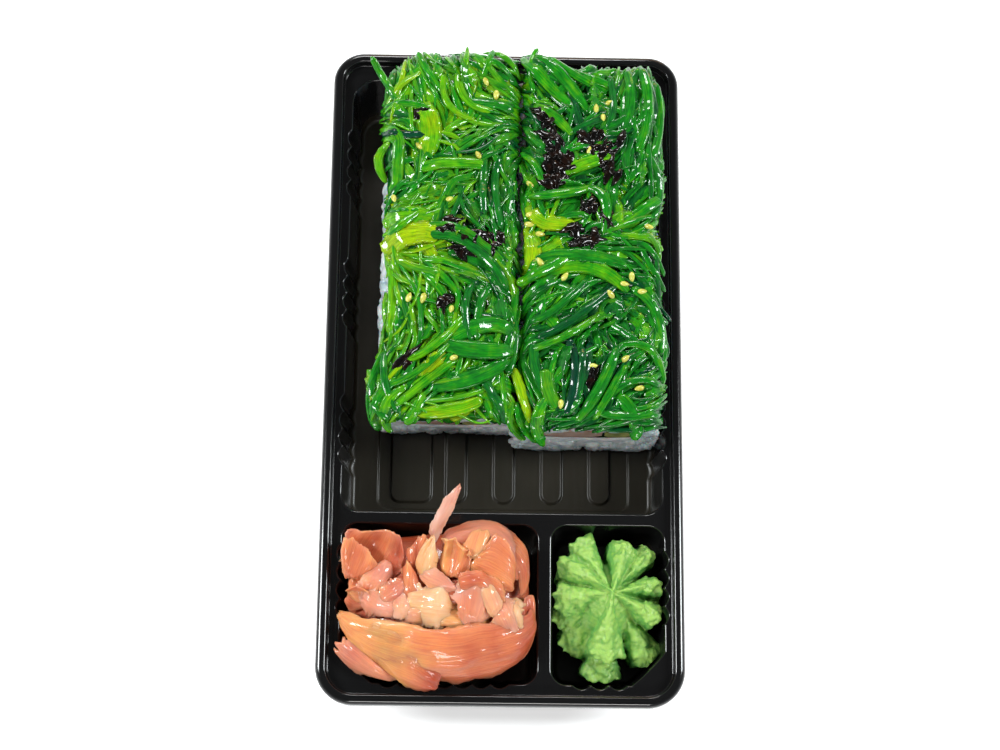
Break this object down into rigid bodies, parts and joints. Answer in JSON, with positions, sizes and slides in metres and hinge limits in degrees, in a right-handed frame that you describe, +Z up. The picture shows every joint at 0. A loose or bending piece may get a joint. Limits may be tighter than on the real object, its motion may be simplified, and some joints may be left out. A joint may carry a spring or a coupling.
{
  "type": "takeaway sushi tray",
  "caption": "Black formed tray filled with rows of rice rolls under seaweed salad, with pickled ginger and a piped rosette of wasabi in two small cups.",
  "frame": {"origin": "on the table, at the middle of the object's box seen from above", "axes": "+X across the tray to the right, from the ginger to the wasabi; +Y along the tray, from the ginger and wasabi to the rolls' far end; +Z up"},
  "size_m": [0.102, 0.1916, 0.0442],
  "materials": {
    "tray_plastic": "glossy black formed sheet, smooth, with soft highlights along its rim",
    "rice": "cooked white rice, moist and grainy",
    "seaweed_sheet": "dark green pressed seaweed, damp",
    "fish": "cooked pinkish brown fish, moist and fibrous",
    "avocado": "ripe avocado, olive to yellow green",
    "seaweed_salad": "wet, glossy, see-through green strands with sesame seeds",
    "pickled_ginger": "wet, translucent peach and pink slices with fine fibres",
    "wasabi": "piped pale green paste with a granular edge"
  },
  "bodies": {
    "root": {"tray": "tray_plastic", "rice_left_1": "rice", "rice_left_2": "rice", "rice_left_3": "rice", "rice_left_4": "rice", "rice_right_1": "rice", "rice_right_2": "rice", "rice_right_3": "rice", "rice_right_4": "rice", "nori_left_1": "seaweed_sheet", "nori_left_2": "seaweed_sheet", "nori_left_3": "seaweed_sheet", "nori_left_4": "seaweed_sheet", "nori_right_1": "seaweed_sheet", "nori_right_2": "seaweed_sheet", "nori_right_3": "seaweed_sheet", "nori_right_4": "seaweed_sheet", "fish_left_1": "fish", "fish_left_2": "fish", "fish_left_3": "fish", "fish_left_4": "fish", "fish_right_1": "fish", "fish_right_2": "fish", "fish_right_3": "fish", "fish_right_4": "fish", "avocado_left_1": "avocado", "avocado_left_2": "avocado", "avocado_left_3": "avocado", "avocado_left_4": "avocado", "avocado_right_1": "avocado", "avocado_right_2": "avocado", "avocado_right_3": "avocado", "avocado_right_4": "avocado", "seaweed_salad_left": "seaweed_salad", "seaweed_salad_right": "seaweed_salad", "pickled_ginger": "pickled_ginger", "wasabi": "wasabi"}
  },
  "joints": []
}
